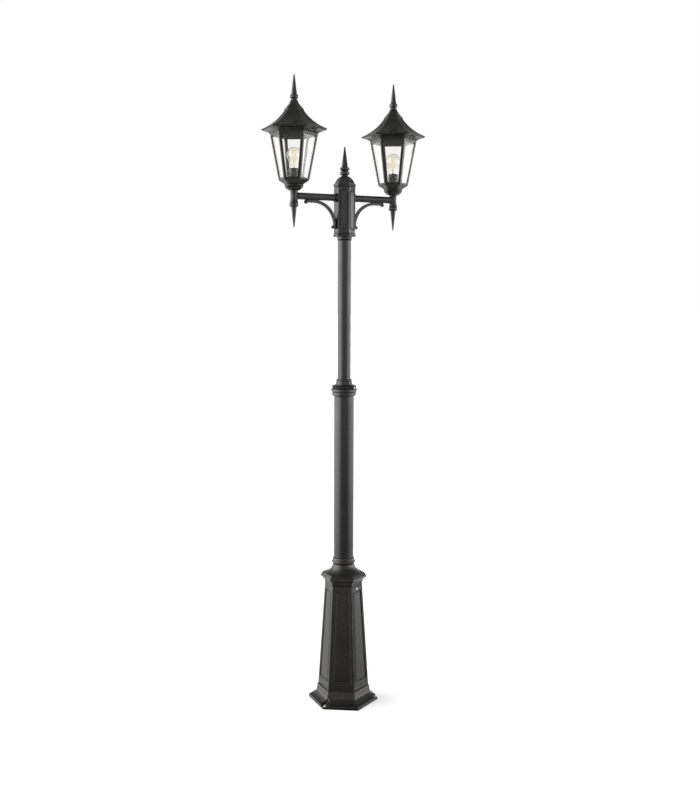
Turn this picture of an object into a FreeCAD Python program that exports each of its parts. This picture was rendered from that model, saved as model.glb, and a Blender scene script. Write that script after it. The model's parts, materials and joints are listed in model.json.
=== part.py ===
import FreeCAD, Part
import math
import os

from FreeCAD import Vector

# Double head lamp post of painted cast aluminium. Millimetres, +Z up, +X along the right arm.
# The origin is on the post's axis, at the ground. Every six-sided piece has corners at 30, 90 ... degrees,
# and its radius is measured to a corner.

# Fits
slip = 0.2                    # radial gap of a tube, stud or screw in its hole
running = 0.3                 # gap between pieces that move against each other

# Pedestal: foot, plinth, tapering shaft, cornice and neck of one hollow casting
flange_radius = 134.0
flange_height = 12.0
flare_height = 20.0
flare_hollow = 2.0            # how far the flare's slope dips below straight
plinth_radius = 104.0
plinth_height = 24.0
plinth_draw = 3.5             # how much the plinth narrows upwards
step_height = 4.0             # shadow groove between plinth and shaft
step_groove = 2.0
shaft_foot_radius = 97.5
shaft_head_radius = 72.5
shaft_height = 388.0
cove_height = 30.0
cove_hollow = 4.0
lip_radius = 90.0
lip_height = 5.0
lip_draw = 1.5
cornice_radius = 80.0
cornice_height = 12.0
trumpet_radius = 67.0
trumpet_height = 36.0
neck_bead_height = 10.0
neck_height = 22.0
neck_wall = 3.3
base_wall = 6.0
socket_depth = 100.0          # how far the lower tube goes down into the pedestal
socket_wall = 5.0
ledge_height = 8.0
ledge_width = 8.0

# Sunk panels of the shaft's faces
panel_border = 11.0
panel_sill = 29.0
panel_frieze = 18.0
panel_depth = 1.5
panel_groove = 6.0            # width of the groove round the panel
panel_groove_depth = 4.0

# Anchor holes at every second corner of the foot, each in a scooped pocket
anchor_circle = 240.0
anchor_hole_radius = 5.0
anchor_pocket_radius = 17.0
anchor_boss_radius = 20.5
anchor_seat = 7.0             # floor of the pocket above the ground
anchor_angles = (90.0, 210.0, 330.0)

# Service door in the shaft's face at -60 degrees, hooked behind its sill and held by one screw
door_angle = -60.0
door_margin = 6.0
door_sill = 14.0
door_head = 2.0
door_gap = 1.0
door_tongue_width = 40.0
door_tongue_thickness = 3.0
door_tongue_drop = 8.0
door_tongue_rise = 12.0
door_screw_inset = 9.0        # screw below the top of the shaft
door_screw_radius = 3.0
door_screw_head_radius = 4.5
door_screw_head_height = 2.5
door_screw_pocket = 1.0       # room around the head
door_screw_play = 0.8
door_lug_width = 24.0
door_lug_thickness = 7.0
door_lug_rise = 8.0
door_lug_drop = 9.0           # lug below the screw

# Connection box inside the pedestal, on the wall opposite the door
box_width = 60.0
box_height = 100.0
box_depth = 36.0
box_wall = 2.5
box_lid_thickness = 5.0
box_level = 130.0             # lower edge above the shaft's foot
box_boss_radius = 5.0
box_boss_height = 4.0
box_boss_spacing = 60.0
gland_radius = 9.0
gland_height = 14.0
strip_width = 44.0
strip_height = 22.0
strip_depth = 16.0

# Tubes
lower_tube_radius = 38.0
lower_tube_wall = 2.5
lower_tube_length = 737.0
upper_tube_radius = 25.0
upper_tube_wall = 2.5
upper_tube_length = 713.0

# Collar between the tubes: a ringed reducer, and a cone that caps it
collar_grip = 16.0
collar_foot_wall = 1.6
collar_foot_height = 6.0
collar_low_radius = 46.0
collar_low_height = 11.0
collar_groove = 1.5
collar_high_radius = 49.7
collar_high_height = 11.5
collar_web = 6.0
collar_web_hole_radius = 18.0
cone_drum_radius = 48.0
cone_drum_foot_radius = 46.0
cone_drum_height = 9.0
cone_bevel_radius = 42.5
cone_bevel_height = 4.5
cone_foot_radius = 33.0
cone_shoulder = 1.5
cone_neck_radius = 29.8
cone_height = 15.0
cone_ring_height = 6.0
cone_ring_radius = 30.2
collar_screw_radius = 3.4
collar_screw_angles = (60.0, 180.0, 300.0)

# Hub that carries both arms on top of the upper tube
hub_socket_depth = 140.0
hub_sleeve_radius = 28.5
hub_sleeve_height = 15.0
hub_radius = 41.0
hub_collar_radius = 43.0
hub_collar_height = 13.0
hub_collar_groove = 1.2
hub_seam = 2.2                # square groove between a collar and the body
hub_body_height = 174.0
hub_wall = 5.5
hub_web = 6.0
hub_land = 16.0               # height of each bearing land inside the socket
hub_upstand_height = 7.0
hub_upstand_wall = 3.0
hub_cable_hole_radius = 6.0
hub_panel_width = 33.0
hub_panel_inset = 10.0
hub_panel_groove = 5.0
hub_panel_depth = 2.8
hub_boss_radius = 17.0
hub_boss_length = 8.0
hub_screw_radius = 2.5
hub_screw_angles = (60.0, 120.0)
dome_radius = 38.5
dome_top_radius = 13.0
dome_height = 30.0
dome_swell = 6.0              # how far the dome stands out beyond a cone
dome_wall = 4.5
dome_screw_radius = 1.6
dome_screw_height = 3.8
dome_screw_angles = (-60.0, 120.0)

# Finials
finial_stud_radius = 4.0
finial_tip_radius = 2.2
bead_shoulder = 0.18          # share of a bead's height that each of its shoulders takes
hub_bead_radius = 18.3
hub_bead_height = 16.0
hub_bead_neck_radius = 12.5
hub_bead_gap = 2.0
hub_bead_high_height = 13.0
hub_spike_radius = 12.3
hub_spike_height = 77.0
hub_finial_foot = 3.0
roof_bead_radius = 15.5
roof_bead_height = 16.5
roof_bead_neck_radius = 11.8
roof_finial_foot = 4.5
roof_spike_radius = 11.0
roof_spike_height = 74.0
drop_spike_radius = 10.6
drop_spike_height = 75.0

# Arms, arm ends and braces
arm_reach = 208.0             # post axis to lantern axis
arm_rise = 15.7               # arm axis above the hub's inner floor
arm_radius = 13.0
arm_wall = 2.5
arm_end_rise = 19.0           # top of the arm end above the arm axis
arm_end_drop = 41.0           # foot of the arm end below the arm axis
arm_end_top_radius = 15.0
arm_end_waist_radius = 13.0
arm_end_bell_radius = 16.0
arm_end_ring_radius = 16.6
arm_end_ring_height = 13.0
arm_end_ring_groove = 2.0
arm_end_shoulder = 16.0       # where the arm tube stops, before the lantern axis
arm_end_spigot = 20.0
drop_stud_length = 12.0
brace_width = 13.0
brace_depth = 11.0
brace_bend = 87.0
brace_leg = 13.0              # straight foot below the bend
brace_reach = 156.0
brace_ball_radius = 7.6
brace_ball_drop = 3.0         # centre of the upper ball below the bar's
brace_foot_ball_radius = 6.0
brace_saddle = 1.2
brace_seat = 0.05

# Lanterns, from the arm end up
cup_foot_radius = 18.0
cup_radius = 36.0
cup_height = 22.0
cup_swell = 0.7               # how far out, of its full width, the cup is
cup_sag = 0.6                 # at this share of its depth
pan_radius = 59.4
pan_ledge = 2.5               # how far the cup's rim stands out below the pan
pan_height = 17.0
pan_floor = 5.0
pan_wall = 5.0
cage_foot_radius = 58.0
cage_head_radius = 91.0
cage_height = 171.5
cage_wall = 4.0
cage_bar = 9.0                # width of a corner bar on each of its two faces
cage_foot_ring = 7.0
cage_head_ring = 10.0
pane_thickness = 3.0
pane_lap = 4.0                # how far a pane reaches behind its frame
eave_radius = 122.0
eave_height = 14.0
eave_lip = 2.5
eave_hollow = 2.5
eave_land = 14.0
eave_wall = 4.0
roof_radius = 124.0
roof_rim = 3.5
roof_height = 79.2
roof_hollow = 10.5
roof_wall = 5.2
roof_land = 12.0
roof_shoulder = 11.0
roof_top_radius = 26.0
roof_plate = 5.0
cap_radius = 29.0
cap_lip = 2.5
cap_top_radius = 13.8
cap_height = 27.0
cap_hollow = 2.2
roof_screw_radius = 2.0
roof_screw_head_radius = 3.8
roof_screw_head_height = 2.5
roof_screw_offset = 15.0      # from the middle of its face
roof_screw_distance = 84.0    # from the lantern axis to the screw's row
roof_screw_grip = 3.0         # eave left above the screw's head
roof_screw_reach = 6.0        # how far the tip goes up into the roof
roof_boss_radius = 5.0
roof_screw_angles = (-60.0, 120.0)

# Lampholder and lamp
stem_radius = 5.0
stem_bore_radius = 3.7
stem_sink = 7.0               # how far the stem goes down into the arm end
nut_radius = 9.8
nut_height = 5.0
stem_grip = 8.0               # how far the stem goes up into the lampholder
holder_radius = 19.0
holder_wall = 3.6
holder_neck_radius = 11.0
holder_neck_height = 7.0
holder_shoulder = 6.0
holder_floor = 8.0            # from the stem's top to the socket's floor
holder_socket = 34.0
shell_wall = 1.2
shell_height = 29.0
contact_width = 8.0
contact_height = 3.7
lamp_cap_radius = 13.2
lamp_cap_height = 26.0
lamp_tip_radius = 4.5
lamp_tip_height = 1.5
lamp_skirt = 4.0
glass_radius = 27.5
glass_neck_radius = 12.9
glass_wall = 0.8
glass_height = 83.0
glass_tangent = 35.0          # degrees below the equator where the neck begins
glass_neck_hollow = 1.5
mount_radius = 5.0
mount_height = 30.0
mount_tip_radius = 2.2
filament_count = 4
filament_radius = 1.4
filament_wire_radius = 0.6
filament_foot_spread = 4.0    # from the lamp's axis to a filament's foot
filament_head_spread = 7.5
filament_rise = 42.0

# Wiring
cable_radius = 3.0
cable_bend = 9.0
supply_radius = 4.5
supply_bend = 60.0
supply_rise = 30.0
supply_drift = 85.0
block_width = 20.0
block_depth = 16.0

COS30 = math.cos(math.radians(30.0))
TAN30 = math.tan(math.radians(30.0))
SIN45 = math.sin(math.radians(45.0))
ORIGIN = Vector(0, 0, 0)
UP = Vector(0, 0, 1)
reach = 10.0                  # overshoot of cutting bodies

# Levels of the post, from the ground up
z_flare = flange_height + flare_height
z_plinth = z_flare + plinth_height
z_shaft = z_plinth + step_height
z_shaft_top = z_shaft + shaft_height
z_lip = z_shaft_top + cove_height
z_lip_top = z_lip + lip_height
z_cornice = z_lip_top + cornice_height
z_trumpet = z_cornice + trumpet_height
z_neck = z_trumpet + neck_height
z_tube_seat = z_neck - socket_depth
z_lower_top = z_tube_seat + lower_tube_length
z_collar_foot = z_lower_top - collar_grip
z_upper_seat = z_lower_top + collar_web
z_collar_top = z_collar_foot + collar_foot_height + collar_low_height + collar_groove + collar_high_height
z_cone_lip = z_collar_top + cone_drum_height
z_cone_foot = z_cone_lip + cone_bevel_height + cone_shoulder
z_cone_ring = z_cone_foot + cone_height
z_cone_top = z_cone_ring + cone_ring_height
z_upper_top = z_upper_seat + upper_tube_length

# Levels of the hub and the arms
z_hub_foot = z_upper_top - hub_socket_depth
z_hub_collar = z_hub_foot + hub_sleeve_height
z_hub_body = z_hub_collar + hub_collar_height
z_hub_body_top = z_hub_body + hub_body_height
z_hub_top = z_hub_body_top + hub_collar_height
z_hub_web = z_upper_top + running
z_hub_floor = z_hub_web + hub_web
z_dome_top = z_hub_top + dome_height
z_arm = z_hub_floor + arm_rise
hub_face = hub_radius * COS30

# Levels of a lantern
z_cup = z_arm + arm_end_rise
z_pan = z_cup + cup_height
z_cage = z_pan + pan_height
z_cage_top = z_cage + cage_height
z_eave = z_cage_top + eave_height
z_roof = z_eave + running
z_roof_top = z_roof + roof_rim + roof_height
z_cap_top = z_roof_top + cap_height
z_nut = z_pan + pan_floor
z_holder = z_nut + nut_height
z_stem_top = z_holder + stem_grip
z_socket = z_stem_top + holder_floor
z_holder_top = z_socket + holder_socket
z_lamp = z_socket + contact_height + running
z_lamp_cap_top = z_lamp + lamp_cap_height
z_stem_foot = z_cup - stem_sink

# Bores that follow from the pieces they take
tube_bore = lower_tube_radius + slip
neck_radius = tube_bore + neck_wall
cone_bore = upper_tube_radius + slip
hub_bore = upper_tube_radius + running
arm_bore = arm_radius + slip
stem_bore = stem_radius + slip
stud_bore = finial_stud_radius + slip
cable_bore = cable_radius + running


# Building blocks

def outline_face(outline):
    """A face in the XZ plane. Steps are (x, z), or (x, z, x, z) for an arc through one point to the next."""
    here = Vector(outline[0][0], 0, outline[0][1])
    edges = []
    closed = outline[-1][-2:] == outline[0]
    for step in outline[1:] + ([] if closed else outline[:1]):
        end = Vector(step[-2], 0, step[-1])
        if len(step) == 4:
            edges.append(Part.Arc(here, Vector(step[0], 0, step[1]), end).toShape())
        else:
            edges.append(Part.makeLine(here, end))
        here = end
    return Part.Face(Part.Wire(edges))


def turned(*outline):
    """A solid of revolution about the Z axis."""
    return outline_face(list(outline)).revolve(ORIGIN, UP, 360)


def six_sided(*outline):
    """A six-sided solid with mitred corners, from an outline of corner radius and height."""
    flat = []
    for step in outline:
        flat.append(tuple(value * (COS30, 1)[place % 2] for place, value in enumerate(step)))
    width = 2 * max(step[-2] for step in flat)
    low = min(step[-1] for step in flat) - reach
    high = max(step[-1] for step in flat) + reach
    slab = outline_face(flat).extrude(Vector(0, 2 * width, 0))
    slab.translate(Vector(0, -width, 0))
    corners = [Vector(0, 0, low), Vector(width, -width * TAN30, low), Vector(width, width * TAN30, low)]
    wedge = Part.Face(Part.makePolygon(corners + corners[:1])).extrude(Vector(0, 0, high - low))
    sector = slab.common(wedge)
    sectors = [turn(sector, 60.0 * side) for side in range(6)]
    return sectors[0].multiFuse(sectors[1:]).removeSplitter().Solids[0]


def turn(shape, angle):
    """A copy turned about the Z axis."""
    copy = shape.copy()
    copy.rotate(ORIGIN, UP, angle)
    return copy


def moved(shape, x, y, z):
    """A copy moved by x, y and z."""
    copy = shape.copy()
    copy.translate(Vector(x, y, z))
    return copy


def rod(radius, low, high):
    """An upright round rod on the Z axis."""
    return Part.makeCylinder(radius, high - low, Vector(0, 0, low))


def pipe(radius, wall, low, high):
    """An upright round tube on the Z axis."""
    return rod(radius, low, high).cut(rod(radius - wall, low - reach, high + reach))


def level_rod(radius, start, end, z):
    """A round rod along X at height z."""
    return Part.makeCylinder(radius, end - start, Vector(start, 0, z), Vector(1, 0, 0))


def radial_rod(radius, start, end, z, angle):
    """A round rod pointing outwards from the Z axis at the given angle."""
    return turn(level_rod(radius, start, end, z), angle)


def join(first, *others):
    """One solid out of pieces that overlap."""
    return first.multiFuse(list(others)).removeSplitter().Solids[0]


def remove(body, *tools):
    """What is left of a body after cutting tools."""
    return body.cut(list(tools)).removeSplitter().Solids[0]


def frustum(front, back, front_depth, back_depth):
    """A solid between two outlines with matching corners, on two planes of constant local z."""
    rings = [[Vector(x, y, front_depth) for x, y in front], [Vector(x, y, back_depth) for x, y in back]]
    faces = [Part.Face(Part.makePolygon(ring + ring[:1])) for ring in rings]
    for place in range(len(front)):
        after = (place + 1) % len(front)
        side = [rings[0][place], rings[0][after], rings[1][after], rings[1][place]]
        faces.append(Part.Face(Part.makePolygon(side + side[:1])))
    solid = Part.Solid(Part.Shell(faces))
    if solid.Volume < 0:
        solid.reverse()
    return solid


def block(x_low, x_high, y_low, y_high, z_low, z_high):
    """A box between two corners."""
    return Part.makeBox(x_high - x_low, y_high - y_low, z_high - z_low, Vector(x_low, y_low, z_low))


def rounded_path(points, bends):
    """A wire of straight runs joined by tangent arcs, one bend radius for each inner point."""
    edges = []
    here = points[0]
    for before, corner, after, bend in zip(points, points[1:], points[2:], bends):
        back = (before - corner).normalize()
        ahead = (after - corner).normalize()
        half = (math.pi - back.getAngle(ahead)) / 2
        run = bend * math.tan(half)
        centre_line = (back + ahead).normalize()
        middle = corner + centre_line * (bend / math.cos(half) - bend)
        edges.append(Part.makeLine(here, corner + back * run))
        edges.append(Part.Arc(corner + back * run, middle, corner + ahead * run).toShape())
        here = corner + ahead * run
    edges.append(Part.makeLine(here, points[-1]))
    return Part.Wire(edges)


def swept(path, profile, across):
    """A profile carried along a flat path, with a steady direction across the path's plane."""
    maker = Part.BRepOffsetAPI.MakePipeShell(path)
    maker.setBiNormalMode(across)
    maker.add(profile)
    maker.build()
    maker.makeSolid()
    return maker.shape().Solids[0]


class SlopedFace:
    """One face of a tapering six-sided body. Local x runs along it, y up its slope and z outwards."""

    def __init__(self, foot_radius, foot_z, head_radius, head_z):
        self.foot = foot_radius * COS30
        self.z = foot_z
        self.lean = math.atan2((head_radius - foot_radius) * COS30, head_z - foot_z)
        self.length = (head_z - foot_z) / math.cos(self.lean)

    def half_width(self, y, depth):
        """Half the width between the mitre planes, at a height y and a depth below the face."""
        return (self.foot + y * math.sin(self.lean) - depth * math.cos(self.lean)) * TAN30

    def outline(self, margin, y_low, y_high, depth=0.0):
        """A trapezium on the face, a margin inside its corners."""
        low = self.half_width(y_low, depth) - margin
        high = self.half_width(y_high, depth) - margin
        return [(-low, y_low), (low, y_low), (high, y_high), (-high, y_high)]

    def place(self, shape, angle):
        """A local shape set on the face at the given angle."""
        copy = shape.copy()
        copy.rotate(ORIGIN, Vector(1, 0, 0), 90 + math.degrees(self.lean))
        copy.rotate(ORIGIN, UP, 90)
        copy.translate(Vector(self.foot, 0, self.z))
        copy.rotate(ORIGIN, UP, angle)
        return copy


shaft_face = SlopedFace(shaft_foot_radius, z_shaft, shaft_head_radius, z_shaft_top)
hub_panel_face = SlopedFace(hub_radius, z_hub_body, hub_radius, z_hub_body_top)
cage_face = SlopedFace(cage_foot_radius, z_cage, cage_head_radius, z_cage_top)


# Pedestal and door

def pedestal_outside():
    """The six-sided outside of the casting, up to the cornice."""
    flare_mid_radius = (flange_radius + plinth_radius) / 2 - flare_hollow
    flare_mid_z = (flange_height + z_flare) / 2 - flare_hollow
    cove_mid_radius = (shaft_head_radius + lip_radius) / 2 - cove_hollow
    cove_mid_z = (z_shaft_top + z_lip) / 2 + cove_hollow
    return six_sided(
        (0, 0), (flange_radius, 0), (flange_radius, flange_height),
        (flare_mid_radius, flare_mid_z, plinth_radius, z_flare),
        (plinth_radius - plinth_draw, z_plinth), (shaft_foot_radius - step_groove, z_plinth),
        (shaft_foot_radius - step_groove, z_shaft), (shaft_foot_radius, z_shaft),
        (shaft_head_radius, z_shaft_top), (cove_mid_radius, cove_mid_z, lip_radius, z_lip),
        (lip_radius - lip_draw, z_lip_top), (cornice_radius, z_cornice), (0, z_cornice))


def pedestal_inside():
    """The hollow of the casting, open at the ground, less the bosses around the anchor holes."""
    wall = base_wall / COS30
    hollow = six_sided(
        (0, -reach), (flange_radius - wall, -reach), (flange_radius - wall, flange_height - base_wall),
        (plinth_radius - wall, z_flare - base_wall),
        (plinth_radius - plinth_draw - wall, z_plinth - base_wall),
        (shaft_foot_radius - wall, z_shaft), (shaft_head_radius - wall, z_shaft_top),
        (lip_radius - wall, z_lip), (cornice_radius - wall, z_cornice - base_wall),
        (0, z_cornice - base_wall))
    bosses = [anchor_rod(anchor_boss_radius, -2 * reach, z_flare, angle) for angle in anchor_angles]
    return remove(hollow, *bosses)


def anchor_rod(radius, low, high, angle):
    """An upright rod on the anchor circle."""
    return turn(moved(rod(radius, low, high), anchor_circle / 2, 0, 0), angle)


def tube_socket():
    """The round trumpet and neck above the cornice, and the socket below it with a ledge for the tube."""
    wall_radius = tube_bore + socket_wall
    sweep = trumpet_radius - neck_radius
    bend = (sweep ** 2 + trumpet_height ** 2) / (2 * sweep)
    half = math.asin(trumpet_height / bend) / 2
    arc_mid_radius = neck_radius + bend - bend * math.cos(half)
    arc_mid_z = z_trumpet - bend * math.sin(half)
    bead = neck_bead_height / 2
    root = z_cornice - base_wall
    ledge_hole = tube_bore - ledge_width
    return turned(
        (tube_bore, z_tube_seat), (ledge_hole, z_tube_seat), (ledge_hole, z_tube_seat - ledge_height),
        (wall_radius, z_tube_seat - ledge_height), (wall_radius, root), (trumpet_radius, root),
        (trumpet_radius, z_cornice), (arc_mid_radius, arc_mid_z, neck_radius, z_trumpet),
        (neck_radius + neck_wall, z_trumpet + bead, neck_radius, z_trumpet + neck_bead_height),
        (neck_radius, z_neck - neck_wall), (tube_bore + neck_wall / 2, z_neck), (tube_bore, z_neck))


def sunk_panel():
    """The recess that draws a panel on a shaft face: a shallow field with a deeper groove round it."""
    top = shaft_face.length - panel_frieze
    recess = prism(shaft_face.outline(panel_border, panel_sill, top), -panel_groove_depth, reach)
    field = shaft_face.outline(panel_border + panel_groove, panel_sill + panel_groove, top - panel_groove)
    return remove(recess, prism(field, -reach, -panel_depth))


def door_outline(grow):
    """The door's outline on its face, grown all round."""
    return shaft_face.outline(door_margin - grow, door_sill - grow, shaft_face.length - door_head + grow)


def prism(outline, low, high):
    """A straight prism on a local outline."""
    return frustum(outline, outline, low, high)


def door_lug():
    """A lug behind the top of the door opening, which takes the door's screw."""
    half = door_lug_width / 2
    back = -base_wall - door_gap - door_lug_thickness
    top = shaft_face.length + door_lug_rise
    screw = shaft_face.length - door_screw_inset
    plate = block(-half, half, screw - door_lug_drop, top, back, -base_wall - door_gap)
    root = block(-half, half, shaft_face.length + door_gap, top, back, -base_wall / 2)
    hole = Part.makeCylinder(door_screw_radius + door_screw_play, 4 * base_wall, Vector(0, screw, 2 * back))
    return remove(join(plate, root), hole)


def base_pedestal():
    shell = remove(pedestal_outside(), pedestal_inside())
    shell = remove(shell, rod(tube_bore + socket_wall / 2, z_cornice - 2 * base_wall, z_cornice + reach))
    lug = shaft_face.place(door_lug(), door_angle)
    box_bosses = [shaft_face.place(boss, door_angle + 180) for boss in connection_box_bosses()]
    casting = join(shell, tube_socket(), lug, *box_bosses)
    panels = [shaft_face.place(sunk_panel(), door_angle + 60 * side) for side in range(1, 6)]
    opening = shaft_face.place(prism(door_outline(door_gap), -2 * base_wall, reach), door_angle)
    lug_keep = shaft_face.place(block(-door_lug_width, door_lug_width, 0, 2 * shaft_face.length,
                                      -4 * base_wall, -base_wall - door_gap / 2), door_angle)
    opening = opening.cut(lug_keep)
    pockets = []
    for angle in anchor_angles:
        pockets.append(anchor_rod(anchor_pocket_radius, anchor_seat, z_flare + reach, angle))
        pockets.append(anchor_rod(anchor_hole_radius, -reach, flange_height + reach, angle))
    return remove(casting, opening, *panels, *pockets)


def base_door():
    plate = prism(door_outline(0.0), -base_wall, 0.0)
    plate = remove(plate, sunk_panel())
    half = door_tongue_width / 2
    back = -base_wall - running - door_tongue_thickness
    front = -base_wall - running
    root = block(-half, half, door_sill, door_sill + door_tongue_rise, back, -base_wall / 2)
    tongue = block(-half, half, door_sill - door_tongue_drop, door_sill + door_tongue_rise, back, front)
    root = remove(root, sunk_panel())
    screw = shaft_face.length - door_screw_inset
    hole = Part.makeCylinder(door_screw_radius + slip, 4 * base_wall, Vector(0, screw, -2 * base_wall))
    pocket = Part.makeCylinder(door_screw_head_radius + door_screw_pocket, reach,
                               Vector(0, screw, -door_screw_head_height))
    return shaft_face.place(remove(join(plate, root, tongue), hole, pocket), door_angle)


def door_screw():
    screw = shaft_face.length - door_screw_inset
    length = base_wall + door_gap + door_lug_thickness
    shank = Part.makeCylinder(door_screw_radius, length, Vector(0, screw, -length))
    seat = Vector(0, screw, -door_screw_head_height)
    head = Part.makeCylinder(door_screw_head_radius, door_screw_head_height, seat)
    return shaft_face.place(join(shank, head), door_angle)


# Connection box and wiring in the post

box_back = -base_wall - box_boss_height
box_front = box_back - box_depth
box_top = box_level + box_height
gland_depth = box_back - box_depth / 2


def connection_box_bosses():
    """Two bosses on the pedestal's inner wall that the box is screwed to."""
    middle = box_level + box_height / 2
    bosses = []
    for level in (middle - box_boss_spacing / 2, middle + box_boss_spacing / 2):
        foot = Vector(0, level, box_back)
        bosses.append(Part.makeCylinder(box_boss_radius, base_wall / 2 + box_boss_height, foot))
    return bosses


def connection_box():
    half = box_width / 2
    outside = block(-half, half, box_level, box_top, box_front, box_back)
    inside = block(box_wall - half, half - box_wall, box_level + box_wall, box_top - box_wall,
                   box_front - reach, box_back - box_wall)
    gland = Part.makeCylinder(gland_radius, gland_height, Vector(0, box_top, gland_depth), Vector(0, 1, 0))
    bore = Part.makeCylinder(supply_radius + slip, gland_height + reach, Vector(0, box_top, gland_depth),
                             Vector(0, 1, 0))
    entry = Part.makeCylinder(gland_radius, gland_height, Vector(0, box_level - gland_height, gland_depth),
                              Vector(0, 1, 0))
    mouth = Part.makeCylinder(supply_radius + slip, gland_height + reach,
                              Vector(0, box_level - gland_height - reach, gland_depth), Vector(0, 1, 0))
    body = join(outside, gland, entry)
    return shaft_face.place(remove(body, inside, bore, mouth), door_angle + 180)


def connection_box_lid():
    half = box_width / 2
    lid = block(-half, half, box_level, box_top, box_front - box_lid_thickness, box_front)
    rim = box_wall + slip
    step = block(rim - half, half - rim, box_level + rim, box_top - rim, box_front, box_front + box_wall)
    return shaft_face.place(join(lid, step), door_angle + 180)


def terminal_strip():
    middle = box_level + box_height / 2
    floor = box_back - box_wall
    strip = block(-strip_width / 2, strip_width / 2, middle - strip_height / 2, middle + strip_height / 2,
                  floor - strip_depth, floor)
    return shaft_face.place(strip, door_angle + 180)


def post_cable():
    """The supply cable from the connection box's gland up the tubes to the hub."""
    away = math.radians(door_angle + 180)
    lean = shaft_face.lean
    out = shaft_face.foot + box_top * math.sin(lean) + gland_depth * math.cos(lean)
    z = z_shaft + box_top * math.cos(lean) - gland_depth * math.sin(lean)
    start = Vector(out * math.cos(away), out * math.sin(away), z)
    uphill = Vector(math.sin(lean) * math.cos(away), math.sin(lean) * math.sin(away), math.cos(lean))
    corner = start + uphill * supply_rise
    points = [start, corner, Vector(0, 0, corner.z + supply_drift), Vector(0, 0, z_hub_floor - running)]
    path = rounded_path(points, (supply_bend, supply_bend))
    profile = Part.Wire(Part.makeCircle(supply_radius, start, uphill))
    return swept(path, profile, Vector(-math.sin(away), math.cos(away), 0))


# Tubes and collar

def lower_tube():
    return pipe(lower_tube_radius, lower_tube_wall, z_tube_seat, z_lower_top)


def upper_tube():
    return pipe(upper_tube_radius, upper_tube_wall, z_upper_seat, z_upper_top)


def collar_screw_rods(radius, start, end):
    """Rods along the collar's set screws."""
    z = z_collar_top + (collar_groove + cone_drum_height) / 2
    return [radial_rod(radius, start, end, z, angle) for angle in collar_screw_angles]


def collar_ring():
    """The lower half of the collar, over the lower tube, with a web that the upper tube stands on."""
    z_low = z_collar_foot + collar_foot_height
    z_groove = z_low + collar_low_height
    z_high = z_groove + collar_groove
    edge = collar_groove
    return turned(
        (tube_bore, z_collar_foot), (tube_bore + collar_foot_wall, z_collar_foot),
        (collar_low_radius, z_low), (collar_low_radius, z_groove - edge),
        (collar_low_radius - edge, z_groove), (collar_low_radius - edge, z_high),
        (collar_high_radius - edge, z_high), (collar_high_radius, z_high + edge),
        (collar_high_radius, z_collar_top - edge), (collar_high_radius - edge, z_collar_top),
        (cone_bore, z_collar_top), (cone_bore, z_upper_seat), (collar_web_hole_radius, z_upper_seat),
        (collar_web_hole_radius, z_lower_top), (tube_bore, z_lower_top))


def collar_cone():
    """The upper half of the collar: a drum with the set screws, a bevel and a cone up to the upper tube."""
    seam_radius = cone_drum_foot_radius - collar_groove
    seam_top = z_collar_top + collar_groove
    groove_radius = cone_ring_radius - collar_groove
    groove_top = z_cone_ring + collar_groove
    cone = turned(
        (cone_bore, z_collar_top), (seam_radius, z_collar_top), (seam_radius, seam_top),
        (cone_drum_foot_radius, seam_top), (cone_drum_radius, z_cone_lip),
        (cone_bevel_radius, z_cone_lip + cone_bevel_height), (cone_foot_radius, z_cone_foot),
        (cone_neck_radius, z_cone_ring),
        (groove_radius, z_cone_ring), (groove_radius, groove_top),
        (cone_ring_radius, groove_top), (cone_ring_radius, z_cone_top), (cone_bore, z_cone_top))
    holes = collar_screw_rods(collar_screw_radius + slip, cone_bore - slip, 2 * cone_drum_radius)
    return remove(cone, *holes)


def collar_screws():
    end = cone_drum_radius + collar_groove / 2
    return Part.makeCompound(collar_screw_rods(collar_screw_radius, cone_bore, end))


# Hub

def hub_outside():
    """The six-sided outside: a body between two collars, each collar with a groove round it and a seam."""
    groove = hub_collar_groove
    seam_radius = hub_radius - hub_seam
    ends = ((z_hub_collar, z_hub_body - hub_seam), (z_hub_body_top + hub_seam, z_hub_top))
    collars = []
    for low, high in ends:
        middle = (low + high) / 2
        collars.append([(hub_collar_radius, low), (hub_collar_radius, middle - groove),
                        (hub_collar_radius - groove, middle), (hub_collar_radius, middle + groove),
                        (hub_collar_radius, high)])
    body = [(seam_radius, z_hub_body - hub_seam), (seam_radius, z_hub_body),
            (hub_radius, z_hub_body), (hub_radius, z_hub_body_top),
            (seam_radius, z_hub_body_top), (seam_radius, z_hub_body_top + hub_seam)]
    outline = [(0, z_hub_collar)] + collars[0] + body + collars[1]
    upstand = dome_radius - (dome_wall + slip) / COS30
    upstand_top = z_hub_top + hub_upstand_height
    outline += [(upstand, z_hub_top), (upstand, upstand_top), (0, upstand_top)]
    return six_sided(*outline)


def hub_sleeve():
    """The round foot below the hub's lower collar."""
    wall = hub_sleeve_radius - hub_bore
    return turned(
        (0, z_hub_foot), (hub_bore + wall / 3, z_hub_foot),
        (hub_sleeve_radius, z_hub_foot + hub_sleeve_height / 2),
        (hub_sleeve_radius, z_hub_collar + hub_land / 2), (0, z_hub_collar + hub_land / 2))


def slot_outline(half, low, high):
    """A round-ended upright slot."""
    start = Vector(-half, low + half, 0)
    right = Vector(half, low + half, 0)
    top_right = Vector(half, high - half, 0)
    top_left = Vector(-half, high - half, 0)
    edges = [Part.Arc(start, Vector(0, low, 0), right).toShape(), Part.makeLine(right, top_right),
             Part.Arc(top_right, Vector(0, high, 0), top_left).toShape(), Part.makeLine(top_left, start)]
    return Part.Face(Part.Wire(edges))


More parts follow.
